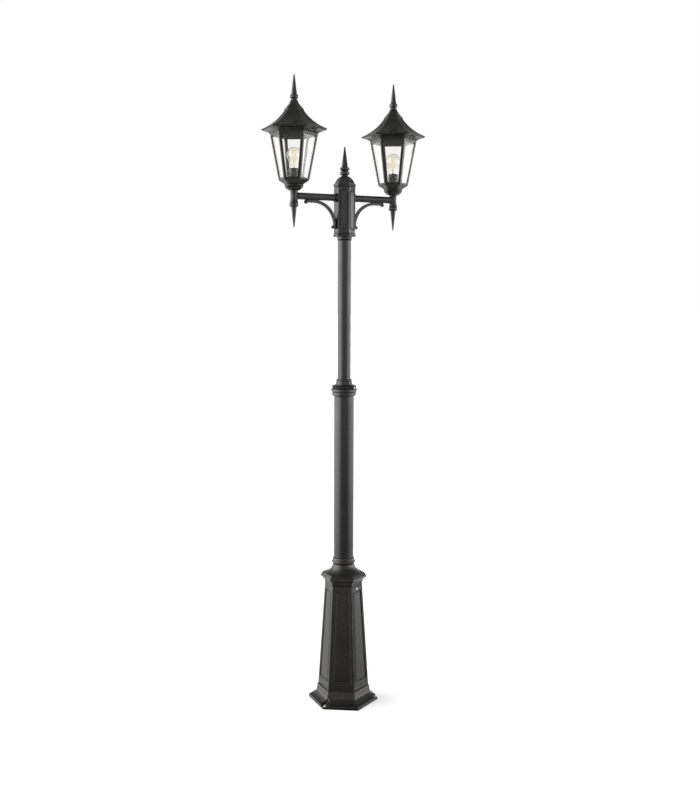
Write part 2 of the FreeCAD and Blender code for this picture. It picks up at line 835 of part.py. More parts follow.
def hub_panel_groove_tool():
    """The groove that draws a round-ended panel on a hub face."""
    half = hub_panel_width / 2
    low = hub_panel_inset
    high = hub_panel_face.length - hub_panel_inset
    ring = slot_outline(half, low, high).cut(
        slot_outline(half - hub_panel_groove, low + hub_panel_groove, high - hub_panel_groove))
    tool = ring.extrude(Vector(0, 0, hub_panel_depth + reach))
    return moved(tool, 0, 0, -hub_panel_depth)


def hub_screw_rods(radius, start, end):
    """Rods along the set screws that clamp the hub to the tube."""
    z = z_hub_collar + hub_collar_height / 4
    return [radial_rod(radius, start, end, z, angle) for angle in hub_screw_angles]


def dome_screw_rods(radius, start, end):
    """Rods along the screws that hold the dome."""
    z = z_hub_top + dome_screw_height
    return [radial_rod(radius, start, end, z, angle) for angle in dome_screw_angles]


def hub_body():
    inner = hub_radius - hub_wall / COS30
    upstand = dome_radius - (dome_wall + slip + hub_upstand_wall) / COS30
    body = join(hub_outside(), hub_sleeve())
    bosses = [radial_rod(hub_boss_radius, hub_face - hub_wall, hub_face + hub_boss_length, z_arm, angle)
              for angle in (0.0, 180.0)]
    body = join(body, *bosses)
    relief_low = z_hub_collar + hub_land
    relief_high = z_hub_web - hub_land
    relief = six_sided((0, relief_low), (inner, relief_low), (inner, relief_high), (0, relief_high))
    chamber = six_sided(
        (0, z_hub_floor), (inner, z_hub_floor), (inner, z_hub_body_top), (upstand, z_hub_top),
        (upstand, z_hub_top + hub_upstand_height + reach), (0, z_hub_top + hub_upstand_height + reach))
    boss_end = hub_face + hub_boss_length + reach
    arm_holes = level_rod(arm_bore, -boss_end, boss_end, z_arm)
    grooves = [hub_panel_face.place(hub_panel_groove_tool(), angle) for angle in (60, 120, 240, 300)]
    return remove(
        body, rod(hub_bore, z_hub_foot - reach, z_hub_web), relief, chamber, arm_holes,
        rod(hub_cable_hole_radius, z_hub_web - reach, z_hub_floor + reach), *grooves,
        *hub_screw_rods(hub_screw_radius + slip, hub_bore - slip, 2 * hub_collar_radius),
        *dome_screw_rods(dome_screw_radius + slip, upstand * COS30 - reach, dome_radius))


def hub_cap():
    """The six-sided dome that closes the hub and carries its finial."""
    wall = dome_wall / COS30
    mid_radius = (dome_radius + dome_top_radius) / 2 + dome_swell
    mid_z = (z_hub_top + z_dome_top) / 2
    outside = six_sided((0, z_hub_top), (dome_radius, z_hub_top),
                        (mid_radius, mid_z, dome_top_radius, z_dome_top), (0, z_dome_top))
    rim = z_hub_top + hub_upstand_height + slip
    hollow_top = z_dome_top - 2 * dome_wall
    hollow = six_sided(
        (0, z_hub_top - reach), (dome_radius - wall, z_hub_top - reach), (dome_radius - wall, rim),
        (dome_top_radius, hollow_top), (0, hollow_top))
    hole = rod(stud_bore, z_hub_top, z_dome_top + reach)
    screws = dome_screw_rods(dome_screw_radius + slip, dome_top_radius, 2 * dome_radius)
    return remove(outside, hollow, hole, *screws)


def hub_screws():
    clamp = hub_screw_rods(hub_screw_radius, hub_bore, hub_collar_radius * COS30 - hub_collar_groove)
    upstand = dome_radius - (dome_wall + slip + hub_upstand_wall) / COS30
    dome = dome_screw_rods(dome_screw_radius, upstand * COS30, dome_radius * COS30 - running)
    return Part.makeCompound(clamp + dome)


def hub_terminal_block():
    half = block_width / 2
    return block(-half, half, -block_depth / 2, block_depth / 2, z_hub_floor, z_hub_floor + 2 * arm_rise)


# Finials

def bead(radius, neck_radius, low, height):
    """The outline of a bead with sloping shoulders between two necks."""
    shoulder = height * bead_shoulder
    high = low + height
    return [(neck_radius, low), (radius, low + shoulder), (radius, high - shoulder), (neck_radius, high)]


def finial(z_seat, stud_length, foot_height, neck_radius, beads, spike_radius, spike_height):
    """A turned spike on a neck with beads, and a stud below."""
    z = z_seat + foot_height
    z_stud = z_seat - stud_length
    outline = [(0, z_stud), (finial_stud_radius, z_stud), (finial_stud_radius, z_seat), (neck_radius, z_seat)]
    for radius, height, gap in beads:
        outline += bead(radius, neck_radius, z, height)
        z += height + gap
        if gap:
            outline.append((neck_radius, z))
    outline += [(spike_radius, z), (finial_tip_radius, z + spike_height), (0, z + spike_height)]
    merged = [outline[0]]
    for step in outline[1:]:
        if step[-2:] != merged[-1][-2:]:
            merged.append(step)
    return turned(*merged)


def hub_finial():
    beads = ((hub_bead_radius, hub_bead_height, hub_bead_gap), (hub_bead_radius, hub_bead_high_height, 0.0))
    return finial(z_dome_top, 2 * dome_wall, hub_finial_foot, hub_bead_neck_radius, beads,
                  hub_spike_radius, hub_spike_height)


def roof_finial():
    beads = ((roof_bead_radius, roof_bead_height, 0.0),)
    return finial(z_cap_top, cap_height + roof_plate, roof_finial_foot, roof_bead_neck_radius, beads,
                  roof_spike_radius, roof_spike_height)


def drop_finial():
    top = z_arm - arm_end_drop
    return turned(
        (0, top + drop_stud_length), (finial_stud_radius, top + drop_stud_length), (finial_stud_radius, top),
        (drop_spike_radius, top), (finial_tip_radius, top - drop_spike_height), (0, top - drop_spike_height))


# Arms. Everything from here on is made on the lantern's own axis, with the hub towards -X

def arm():
    start = hub_face - hub_wall - arm_reach
    tube = level_rod(arm_radius, start, -arm_end_shoulder, z_arm)
    return remove(tube, level_rod(arm_radius - arm_wall, start - reach, reach, z_arm))


def arm_end():
    top = z_arm + arm_end_rise
    foot = z_arm - arm_end_drop
    ring_top = foot + arm_end_ring_height
    groove_top = ring_top + arm_end_ring_groove
    chamfer = arm_end_ring_groove
    spindle = turned(
        (0, foot), (arm_end_ring_radius - 2 * chamfer, foot), (arm_end_ring_radius, foot + 2 * chamfer),
        (arm_end_ring_radius, ring_top - chamfer), (arm_end_ring_radius - chamfer, ring_top),
        (arm_end_bell_radius - chamfer, ring_top), (arm_end_bell_radius - chamfer, groove_top),
        (arm_end_bell_radius, groove_top),
        (arm_end_waist_radius, z_arm, arm_end_top_radius, top - chamfer), (arm_end_top_radius, top), (0, top))
    boss = level_rod(arm_radius, -arm_end_shoulder, 0, z_arm)
    spigot_radius = arm_radius - arm_wall - slip
    spigot = level_rod(spigot_radius, -arm_end_shoulder - arm_end_spigot, 0, z_arm)
    chamber = Part.makeSphere(cable_bend - slip, Vector(0, 0, z_arm))
    duct = level_rod(cable_bore + slip, -arm_end_shoulder - arm_end_spigot - reach, 0, z_arm)
    return remove(
        join(spindle, boss, spigot), chamber, duct, rod(stem_bore, z_arm, top + reach),
        rod(stud_bore, foot - reach, foot + drop_stud_length + slip))


def brace():
    """A quarter-round bar from the hub's face up to the arm's underside, with a ball at each end."""
    x_leg = hub_face - arm_reach + brace_depth / 2
    z_top = z_arm - arm_radius - brace_depth / 2 + brace_saddle
    z_leg = z_top - brace_bend - brace_leg
    x_end = brace_reach - arm_reach
    points = [Vector(x_leg, 0, z_leg), Vector(x_leg, 0, z_top), Vector(x_end, 0, z_top)]
    path = rounded_path(points, (brace_bend,))
    half_width = brace_width / 2
    half_depth = brace_depth / 2
    corners = ((-half_depth, -half_width), (half_depth, -half_width),
               (half_depth, half_width), (-half_depth, half_width))
    edge = [Vector(x_leg + x, y, z_leg) for x, y in corners]
    bar = swept(path, Part.makePolygon(edge + edge[:1]), Vector(0, 1, 0))
    x_upper = x_end + brace_ball_radius / 2
    ball = Part.makeSphere(brace_ball_radius, Vector(x_upper, 0, z_top - brace_ball_drop))
    x_ball = x_leg + half_depth + brace_foot_ball_radius / 2
    foot_ball = Part.makeSphere(brace_foot_ball_radius, Vector(x_ball, 0, z_leg + brace_foot_ball_radius))
    saddle = level_rod(arm_radius + brace_seat, -arm_reach, reach, z_arm)
    return remove(join(bar, ball, foot_ball), saddle)


def arm_cable():
    """The lamp's lead, through the arm and up the stem."""
    start = Vector(block_width / 2 - arm_reach, 0, z_arm)
    points = [start, Vector(0, 0, z_arm), Vector(0, 0, z_socket)]
    profile = Part.Wire(Part.makeCircle(cable_radius, start, Vector(1, 0, 0)))
    return swept(rounded_path(points, (cable_bend,)), profile, Vector(0, 1, 0))


# Lantern

def neck_cup():
    mid_radius = cup_foot_radius + (cup_radius - cup_foot_radius) * cup_swell
    mid_z = z_pan - cup_height * cup_sag
    cup = six_sided((0, z_cup), (cup_foot_radius, z_cup), (mid_radius, mid_z, cup_radius, z_pan), (0, z_pan))
    return remove(cup, rod(stem_bore, z_cup - reach, z_pan + reach))


def pan():
    wall = pan_wall / COS30
    dish = six_sided(
        (0, z_pan), (cup_radius - pan_ledge, z_pan), (pan_radius, z_cage), (pan_radius - wall, z_cage),
        (cup_radius - wall / 2, z_nut), (0, z_nut))
    return remove(dish, rod(stem_bore, z_pan - reach, z_nut + reach))


def cage_inner(radius):
    """The corner radius inside the cage's wall."""
    return radius - cage_wall / math.cos(cage_face.lean) / COS30


def cage():
    """Six corner bars between a foot ring and a head ring, cast in one."""
    frame = six_sided((cage_foot_radius, z_cage), (cage_head_radius, z_cage_top),
                      (cage_inner(cage_head_radius), z_cage_top), (cage_inner(cage_foot_radius), z_cage))
    opening = cage_face.outline(cage_bar, cage_foot_ring, cage_face.length - cage_head_ring)
    window = prism(opening, -3 * cage_wall, reach)
    return remove(frame, *[cage_face.place(window, 60.0 * side) for side in range(6)])


def panes():
    """Six flat panes, each held behind its window."""
    front = -cage_wall - running
    back = front - pane_thickness
    low = cage_foot_ring - pane_lap
    high = cage_face.length - cage_head_ring + pane_lap
    pane = prism(cage_face.outline(running, low, high, -back), back, front)
    return Part.makeCompound([cage_face.place(pane, 60.0 * side) for side in range(6)])


def roof_screw_spot(shape, angle):
    """A shape moved to one of the screws that hold the roof down."""
    return turn(moved(shape, roof_screw_distance, roof_screw_offset, 0), angle)


def eave_top(radius):
    """Height of the eave's sloping inner side at a corner radius."""
    low = cage_inner(cage_head_radius)
    share = (radius - low) / (eave_radius - eave_land - low)
    return z_cage_top + eave_wall + (eave_height - eave_wall) * share


z_roof_screw = eave_top(roof_screw_distance / COS30) - roof_screw_grip


def eave():
    """The coved ring that flares out from the cage's head to the roof's rim."""
    mid_radius = (cage_head_radius + eave_radius) / 2
    mid_z = (z_cage_top + z_eave - eave_lip) / 2 + eave_hollow
    inner = cage_inner(cage_head_radius)
    ring = six_sided(
        (inner, z_cage_top), (cage_head_radius, z_cage_top),
        (mid_radius, mid_z, eave_radius, z_eave - eave_lip),
        (eave_radius, z_eave), (eave_radius - eave_land, z_eave), (inner, z_cage_top + eave_wall))
    seat = rod(roof_screw_head_radius + slip, z_cage_top - reach, z_roof_screw)
    hole = rod(roof_screw_radius + slip, z_cage_top, z_roof)
    tools = [roof_screw_spot(tool, angle) for tool in (seat, hole) for angle in roof_screw_angles]
    return remove(ring, *tools)


def roof_screw_pair():
    shank = rod(roof_screw_radius, z_roof_screw - roof_screw_head_height, z_roof + roof_screw_reach)
    head = rod(roof_screw_head_radius, z_roof_screw - roof_screw_head_height, z_roof_screw)
    screw = join(shank, head)
    return [roof_screw_spot(screw, angle) for angle in roof_screw_angles]


def roof():
    """The hollow-sided roof: a six-sided shell with curved faces, rounded where the cap sits."""
    z_rim = z_roof + roof_rim
    arc_top = z_roof_top - roof_shoulder
    arc_radius = roof_top_radius + roof_shoulder
    mid_radius = (roof_radius + arc_radius) / 2
    mid_z = (z_rim + arc_top) / 2 - roof_hollow
    bulge = roof_shoulder * SIN45
    edge = roof_radius - roof_land
    inner_radius = roof_top_radius - roof_wall
    inner_top = z_roof_top - roof_plate
    shell = six_sided(
        (edge, z_roof), (roof_radius, z_roof), (roof_radius, z_rim), (mid_radius, mid_z, arc_radius, arc_top),
        (roof_top_radius + bulge, arc_top + bulge, roof_top_radius, z_roof_top),
        (0, z_roof_top), (0, inner_top), (inner_radius, inner_top),
        (mid_radius - roof_wall * SIN45, mid_z - roof_wall * SIN45, edge, z_roof))
    solid_roof = six_sided(
        (0, z_roof), (roof_radius, z_roof), (roof_radius, z_rim), (mid_radius, mid_z, arc_radius, arc_top),
        (roof_top_radius, z_roof_top), (0, z_roof_top))
    boss = rod(roof_boss_radius, z_roof, z_roof_top)
    bosses = [roof_screw_spot(boss, angle).common(solid_roof) for angle in roof_screw_angles]
    hole = rod(roof_screw_radius + running, z_roof - reach, z_roof + roof_screw_reach + running)
    holes = [roof_screw_spot(hole, angle) for angle in roof_screw_angles]
    return remove(join(shell, *bosses), rod(stud_bore, inner_top - reach, z_roof_top + reach), *holes)


def roof_cap():
    mid_radius = (cap_radius + cap_top_radius) / 2 - cap_hollow
    mid_z = (z_roof_top + cap_lip + z_cap_top) / 2 - cap_hollow / 2
    cap = six_sided((0, z_roof_top), (cap_radius, z_roof_top), (cap_radius, z_roof_top + cap_lip),
                    (mid_radius, mid_z, cap_top_radius, z_cap_top), (0, z_cap_top))
    return remove(cap, rod(stud_bore, z_roof_top - reach, z_cap_top + reach))


# Lampholder and lamp

def stem():
    return pipe(stem_radius, stem_radius - stem_bore_radius, z_stem_foot, z_stem_top)


def stem_nut():
    nut = six_sided((0, z_nut), (nut_radius, z_nut), (nut_radius, z_holder), (0, z_holder))
    return remove(nut, rod(stem_bore, z_nut - reach, z_holder + reach))


def lampholder():
    z_shoulder = z_holder + holder_neck_height
    socket = holder_radius - holder_wall
    return turned(
        (stem_bore, z_holder), (holder_neck_radius, z_holder), (holder_neck_radius, z_shoulder),
        (holder_radius, z_shoulder + holder_shoulder), (holder_radius, z_holder_top), (socket, z_holder_top),
        (socket, z_socket), (cable_bore + slip, z_socket), (cable_bore + slip, z_stem_top),
        (stem_bore, z_stem_top))


def lampholder_contacts():
    outer = holder_radius - holder_wall - slip
    shell = pipe(outer, shell_wall, z_socket, z_socket + shell_height)
    half = contact_width / 2
    tongue = block(-outer + shell_wall + slip, half, -half, half, z_socket, z_socket + contact_height / 3)
    button = turned((0, z_socket), (half, z_socket), (half, z_socket + contact_height / 2),
                    (half / 2, z_socket + contact_height), (0, z_socket + contact_height))
    centre = join(tongue, button)
    return Part.makeCompound([shell, centre])


def bulb_cap():
    z_skirt = z_lamp + lamp_tip_height + lamp_skirt
    return turned(
        (0, z_lamp), (lamp_tip_radius, z_lamp), (lamp_tip_radius, z_lamp + lamp_tip_height),
        (lamp_cap_radius, z_skirt), (lamp_cap_radius, z_lamp_cap_top), (0, z_lamp_cap_top))


def glass_outline(radius, neck_radius, height):
    """Half the outline of the lamp's glass, from the cap up to the crown."""
    z_middle = z_lamp_cap_top + glass_height - glass_radius
    angle = math.radians(glass_tangent)
    join_radius = radius * math.cos(angle)
    join_z = z_middle - radius * math.sin(angle)
    mid_radius = (neck_radius + join_radius) / 2 - glass_neck_hollow
    mid_z = (z_lamp_cap_top + join_z) / 2
    crown = z_lamp_cap_top + height
    return [(neck_radius, z_lamp_cap_top), (mid_radius, mid_z, join_radius, join_z),
            (radius, z_middle, 0, crown)]


def bulb_glass():
    foot = (0, z_lamp_cap_top)
    outer = turned(foot, *glass_outline(glass_radius, glass_neck_radius, glass_height))
    inner = glass_outline(glass_radius - glass_wall, glass_neck_radius - glass_wall,
                          glass_height - glass_wall)
    return remove(outer, turned(foot, *inner))


def bulb_mount():
    """The pressed glass stem that carries the filament."""
    top = z_lamp_cap_top + mount_height
    waist = z_lamp_cap_top + mount_height / 3
    return turned(
        (0, z_lamp_cap_top), (mount_radius, z_lamp_cap_top), (mount_tip_radius, waist),
        (mount_tip_radius, top), (0, top))


def filament_rod(radius, start, end):
    """A round-ended rod between two points."""
    run = end - start
    return join(Part.makeCylinder(radius, run.Length, start, run), Part.makeSphere(radius, start),
                Part.makeSphere(radius, end))


def bulb_filament():
    """Straight filaments round a centre wire, joined to it at the foot and at the head."""
    foot = z_lamp_cap_top + mount_height
    head = foot + filament_rise
    low = foot + filament_radius
    pieces = [rod(filament_wire_radius, foot, head)]
    for place in range(filament_count):
        around = 2 * math.pi * (place + 0.5) / filament_count
        out = Vector(math.cos(around), math.sin(around), 0)
        ends = [out * filament_foot_spread + UP * low, out * filament_head_spread + UP * head]
        pieces.append(filament_rod(filament_radius, *ends))
        pieces += [filament_rod(filament_wire_radius, UP * end.z, end) for end in ends]
    return join(*pieces)


# Export

post_pieces = {
    "base_pedestal": base_pedestal, "base_door": base_door, "door_screw": door_screw,
    "connection_box": connection_box, "connection_box_lid": connection_box_lid,
    "terminal_strip": terminal_strip, "post_cable": post_cable, "lower_tube": lower_tube,
    "collar_ring": collar_ring, "collar_cone": collar_cone, "collar_screws": collar_screws,
    "upper_tube": upper_tube, "hub_body": hub_body, "hub_cap": hub_cap,
    "hub_screws": hub_screws, "hub_finial": hub_finial, "hub_terminal_block": hub_terminal_block,
}
lantern_pieces = {
    "arm": arm, "arm_end": arm_end, "drop_finial": drop_finial, "brace": brace, "arm_cable": arm_cable,
    "neck_cup": neck_cup, "pan": pan, "cage": cage, "panes": panes, "eave": eave, "roof": roof,
    "roof_cap": roof_cap, "roof_finial": roof_finial, "stem": stem, "lampholder": lampholder,
    "lampholder_contacts": lampholder_contacts, "bulb_cap": bulb_cap, "bulb_glass": bulb_glass,
    "bulb_mount": bulb_mount, "bulb_filament": bulb_filament,
}
sides = {"right": 0.0, "left": 180.0}


def at_side(shape, angle):
    """A lantern piece moved out to the end of its arm."""
    return turn(moved(shape, arm_reach, 0, 0), angle)


os.makedirs("parts", exist_ok=True)
for name, build in post_pieces.items():
    build().exportStep(f"parts/{name}.step")
for name, build in lantern_pieces.items():
    piece = build()
    for side, angle in sides.items():
        at_side(piece, angle).exportStep(f"parts/{side}_{name}.step")
screws = [at_side(screw, angle) for screw in roof_screw_pair() for angle in sides.values()]
Part.makeCompound(screws).exportStep("parts/roof_screws.step")
Part.makeCompound([at_side(stem_nut(), angle) for angle in sides.values()]).exportStep("parts/stem_nuts.step")
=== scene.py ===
import json
import math

import bmesh
import bpy
from mathutils import Euler, Matrix, Vector
from mathutils.bvhtree import BVHTree


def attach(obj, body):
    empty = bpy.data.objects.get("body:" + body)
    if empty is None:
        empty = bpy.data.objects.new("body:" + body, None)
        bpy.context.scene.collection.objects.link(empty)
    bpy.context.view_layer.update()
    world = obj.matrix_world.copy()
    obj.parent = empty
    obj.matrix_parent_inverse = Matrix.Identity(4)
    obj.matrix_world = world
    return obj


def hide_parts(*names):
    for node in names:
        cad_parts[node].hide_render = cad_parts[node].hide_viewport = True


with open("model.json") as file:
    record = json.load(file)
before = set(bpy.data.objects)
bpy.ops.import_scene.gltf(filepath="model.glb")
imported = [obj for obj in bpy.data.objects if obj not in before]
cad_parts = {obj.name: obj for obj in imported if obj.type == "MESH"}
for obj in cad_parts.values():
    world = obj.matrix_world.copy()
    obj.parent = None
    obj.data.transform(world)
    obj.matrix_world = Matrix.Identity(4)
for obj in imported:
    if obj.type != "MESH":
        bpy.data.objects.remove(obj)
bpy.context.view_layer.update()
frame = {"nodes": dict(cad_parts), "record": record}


# Pedestal. A hollow six-sided casting of aluminium with sunk panels, a cove and a cornice under a round neck.
# It is powder coated satin black, stands on its foot and holds the lower tube in its neck.

PEDESTAL_EDGE = 0.0016
SHARP_ANGLE = math.radians(24)
CREASE_ANGLE = math.radians(45)
MERGE_DISTANCE = 1e-6
PEDESTAL_BLACK = (0.0046, 0.0045, 0.0043, 1)
PEDESTAL_BLOOM = (0.0066, 0.0064, 0.0061, 1)
WORN_BLACK = (0.020, 0.0195, 0.019, 1)
WARM_GLOSS = (1.0, 0.975, 0.93, 1)
CAST_PEEL = 700.0
COAT_ROUGHNESS = 0.22
PEEL_DETAIL = 3.0
PEEL_BUMP = (0.25, 0.0004)  # strength and depth
CLOUD = (11.0, 5.0)  # patches in a metre and fineness
CLOUD_RANGE = (0.35, 0.65)
CLOUD_ROUGHNESS = 0.10
RUB = (70.0, 4.0)  # patches in a metre and fineness
RUB_RANGE = (0.40, 0.75)
RUB_ROUGHNESS = -0.10
RECESS_RAYS = 8
RECESS_SLOPE = 0.7
RECESS_LIFT = 0.0001
RECESS_REACH = 0.008
RECESS_RANGE = (0.3, 0.7)
RECESS_ROUGHNESS = 0.75
COLOUR = "NodeSocketColor"
NUMBER = "NodeSocketFloat"


def feed(tree, value, socket):
    """A plain number, or another node's output, into a socket."""
    if isinstance(value, float):
        socket.default_value = value
    else:
        tree.links.new(value, socket)


def combined(tree, operation, *values):
    """Values put together by one operation; each may be a plain number."""
    node = tree.nodes.new("ShaderNodeMath")
    node.operation = operation
    for socket, value in zip(node.inputs, values):
        feed(tree, value, socket)
    return node.outputs["Value"]


def ranged(tree, value, limits, curve="LINEAR"):
    """A mask that goes from 0 to 1 between two values."""
    mask = tree.nodes.new("ShaderNodeMapRange")
    mask.interpolation_type = curve
    mask.inputs["From Min"].default_value, mask.inputs["From Max"].default_value = limits
    tree.links.new(value, mask.inputs["Value"])
    return mask.outputs["Result"]


def noise(tree, scale, detail):
    """Cloudy noise that is fixed to its piece. Scale is about the number of patches in a metre."""
    where = tree.nodes.new("ShaderNodeTexCoord")
    cloud = tree.nodes.new("ShaderNodeTexNoise")
    feed(tree, scale, cloud.inputs["Scale"])
    cloud.inputs["Detail"].default_value = detail
    tree.links.new(where.outputs["Object"], cloud.inputs["Vector"])
    return cloud.outputs["Fac"]


def marked(tree, name):
    """The mark of that name on a piece's faces, or 0 where it has none."""
    mark = tree.nodes.new("ShaderNodeAttribute")
    mark.attribute_name = name
    return mark.outputs["Fac"]


def blended(tree, mask, first, second):
    """The first colour where the mask is 0 and the second where it is 1."""
    mix = tree.nodes.new("ShaderNodeMix")
    mix.data_type = "RGBA"
    tree.links.new(mask, mix.inputs["Factor"])
    tree.links.new(first, mix.inputs["A"])
    tree.links.new(second, mix.inputs["B"])
    return mix.outputs["Result"]


def skin_group(name, inputs):
    """A node group for a surface, with the sockets that it takes and the three that it gives."""
    group = bpy.data.node_groups.new(name, "ShaderNodeTree")
    outputs = {"Colour": COLOUR, "Roughness": NUMBER, "Height": NUMBER}
    for in_out, sockets in (("INPUT", inputs), ("OUTPUT", outputs)):
        for socket, kind in sockets.items():
            group.interface.new_socket(socket, in_out=in_out, socket_type=kind)
    given = group.nodes.new("NodeGroupInput").outputs
    result = group.nodes.new("NodeGroupOutput").inputs
    return group, given, result


def coat_group():
    """Satin coat: a fine peel, cloudy unevenness, edges rubbed a little bare, and dull recesses."""
    group, given, result = skin_group("powder_coat_skin", {
        "Colour": COLOUR, "Bloom": COLOUR, "Worn": COLOUR, "Peel": NUMBER, "Roughness": NUMBER})
    cloud = ranged(group, noise(group, *CLOUD), CLOUD_RANGE)
    bare = ranged(group, noise(group, *RUB), RUB_RANGE)
    worn = combined(group, "MULTIPLY", marked(group, "edge"), bare)
    dull = ranged(group, marked(group, "recess"), RECESS_RANGE)
    tone = blended(group, cloud, given["Colour"], given["Bloom"])
    roughness = given["Roughness"]
    for mask, change in ((cloud, CLOUD_ROUGHNESS), (worn, RUB_ROUGHNESS), (dull, RECESS_ROUGHNESS)):
        roughness = combined(group, "MULTIPLY_ADD", mask, change, roughness)
    group.links.new(blended(group, worn, tone, given["Worn"]), result["Colour"])
    group.links.new(roughness, result["Roughness"])
    group.links.new(noise(group, given["Peel"], PEEL_DETAIL), result["Height"])
    return group


def shader_of(finish):
    """A finish's own shader."""
    return finish.node_tree.nodes["Principled BSDF"]


def new_finish(name):
    """A material with its node tree and its shader."""
    finish = bpy.data.materials.new(name)
    finish.use_nodes = True
    return finish, finish.node_tree, shader_of(finish)


def raised(tree, shader, height, strength, distance):
    """Small bumps on a surface."""
    bump = tree.nodes.new("ShaderNodeBump")
    bump.inputs["Strength"].default_value = strength
    bump.inputs["Distance"].default_value = distance
    tree.links.new(height, bump.inputs["Height"])
    tree.links.new(bump.outputs["Normal"], shader.inputs["Normal"])


def skinned(name, group, values, bump):
    """A finish whose colour, roughness and bumps come from a group with its own values."""
    finish, tree, shader = new_finish(name)
    skin = tree.nodes.new("ShaderNodeGroup")
    skin.node_tree = group
    for socket, value in values.items():
        skin.inputs[socket].default_value = value
    tree.links.new(skin.outputs["Colour"], shader.inputs["Base Color"])
    tree.links.new(skin.outputs["Roughness"], shader.inputs["Roughness"])
    raised(tree, shader, skin.outputs["Height"], *bump)
    return finish


def satin_coat(name, colour, bloom, peel, roughness):
    """A satin surface: powder coat, moulded plastic or rubber. Peel is the number of bumps in a metre."""
    values = {"Colour": colour, "Bloom": bloom, "Worn": WORN_BLACK, "Peel": peel, "Roughness": roughness}
    return skinned(name, powder_coat_skin, values, PEEL_BUMP)


def show(bm, name, body, finish, crease=CREASE_ANGLE):
    """A finished mesh as a piece that rides on a body and takes its finish from a slot."""
    mesh = bpy.data.meshes.new(name)
    bm.to_mesh(mesh)
    bm.free()
    mesh.polygons.foreach_set("use_smooth", [True] * len(mesh.polygons))
    mesh.set_sharp_from_angle(angle=crease)
    mesh.materials.append(finish)
    piece = bpy.data.objects.new(name, mesh)
    bpy.context.scene.collection.objects.link(piece)
    flats = piece.modifiers.new("flat faces", "WEIGHTED_NORMAL")
    flats.keep_sharp = True
    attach(piece, body)
    return piece


def sharp_edges(bm, angle, shortest=0.0):
    """Edges that turn by more than an angle, apart from very short ones."""
    return [edge for edge in bm.edges if len(edge.link_faces) == 2
            and edge.calc_face_angle() > angle and edge.calc_length() >= shortest]


def mark_recesses(bm):
    """Each face's share of slanting rays that meet the same piece close by."""
    mark = bm.faces.layers.float.new("recess")
    bm.normal_update()
    tree = BVHTree.FromBMesh(bm)
    for face in bm.faces:
        normal = face.normal
        start = face.calc_center_median() + RECESS_LIFT * normal
        across = normal.orthogonal().normalized()
        hits = 0
        for ray in range(RECESS_RAYS):
            turn = Matrix.Rotation(2 * math.pi * ray / RECESS_RAYS, 3, normal)
            slant = (RECESS_SLOPE * normal + turn @ across).normalized()
            hits += tree.ray_cast(start, slant, RECESS_REACH)[0] is not None
        face[mark] = hits / RECESS_RAYS


def cast_piece(node, body, finish, rounding, grooved=False, shortest=0.0):
    """A CAD node with its sharp edges rounded as a casting's are. Its rounded faces are marked for wear."""
    bm = bmesh.new()
    bm.from_mesh(frame["nodes"][node].data)
    bmesh.ops.remove_doubles(bm, verts=bm.verts, dist=MERGE_DISTANCE)
    edges = sharp_edges(bm, SHARP_ANGLE, shortest)
    mark = bm.faces.layers.float.new("edge")
    rounded = bmesh.ops.bevel(bm, geom=edges, offset=rounding, offset_type="OFFSET", segments=2, profile=0.5,
                              affect="EDGES", clamp_overlap=False, material=-1)
    for face in rounded["faces"]:
        face[mark] = 1.0
    bmesh.ops.remove_doubles(bm, verts=bm.verts, dist=MERGE_DISTANCE)
    slivers = [face for face in bm.faces if any(edge.is_boundary for edge in face.edges)]
    bmesh.ops.delete(bm, geom=slivers, context="FACES")
    if grooved:
        mark_recesses(bm)
    piece = show(bm, f"{node}_piece", body, finish)
    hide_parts(node)
    return piece


powder_coat_skin = coat_group()
cast_coat = satin_coat("pedestal black coat", PEDESTAL_BLACK, PEDESTAL_BLOOM, CAST_PEEL, COAT_ROUGHNESS)
shader_of(cast_coat).inputs["Specular Tint"].default_value = WARM_GLOSS
cast_piece("base_pedestal", "post", cast_coat, PEDESTAL_EDGE, grooved=True)


# Anchor bolts. Three zinc-plated flange bolts with dished six-sided heads.
# They hold the foot down to the ground, each in a scooped pocket at every second corner.

MILLIMETRE = 0.001
FIRST_BOLT = math.radians(90)
BOLT_FOOT = 0.0005
BOLT_SEAT = 0.007
BOLT_SHANK = 0.004
BOLT_FLANGE = (0.0068, 0.0013)  # radius and height
BOLT_HEAD = (0.0052, 0.0032)  # radius and height
BOLT_DISH = (0.0020, 0.0012)  # rim and depth
BOLT_EDGE = 0.0004
BOLT_SHARP = math.radians(35)
BOLT_SHANK_SIDES = 24
BOLT_FLANGE_SIDES = 48
BOLT_HEAD_SIDES = 6
ZINC = (0.62, 0.62, 0.60, 1)
ZINC_DULL = (0.40, 0.40, 0.39, 1)
ZINC_PATCHES = 300.0
METAL_DETAIL = 6.0
METAL_ROUGHNESS = 0.18
PATCH_ROUGHNESS = 0.27
METAL_BUMP = (0.1, 0.0002)  # strength and depth


def metal_group():
    """Bare or plated metal: a cloudy tone, and patches that change the gloss."""
    group, given, result = skin_group("bare_metal_skin", {"Bright": COLOUR, "Dull": COLOUR, "Size": NUMBER})
    cloud = noise(group, given["Size"], METAL_DETAIL)
    group.links.new(blended(group, cloud, given["Bright"], given["Dull"]), result["Colour"])
    roughness = combined(group, "MULTIPLY_ADD", cloud, PATCH_ROUGHNESS, METAL_ROUGHNESS)
    group.links.new(roughness, result["Roughness"])
    group.links.new(cloud, result["Height"])
    return group


def bare_metal(name, bright, dull, patches):
    """Plated or bright metal, with a number of patches in a metre."""
    finish = skinned(name, bare_metal_skin, {"Bright": bright, "Dull": dull, "Size": patches}, METAL_BUMP)
    shader_of(finish).inputs["Metallic"].default_value = 1.0
    return finish


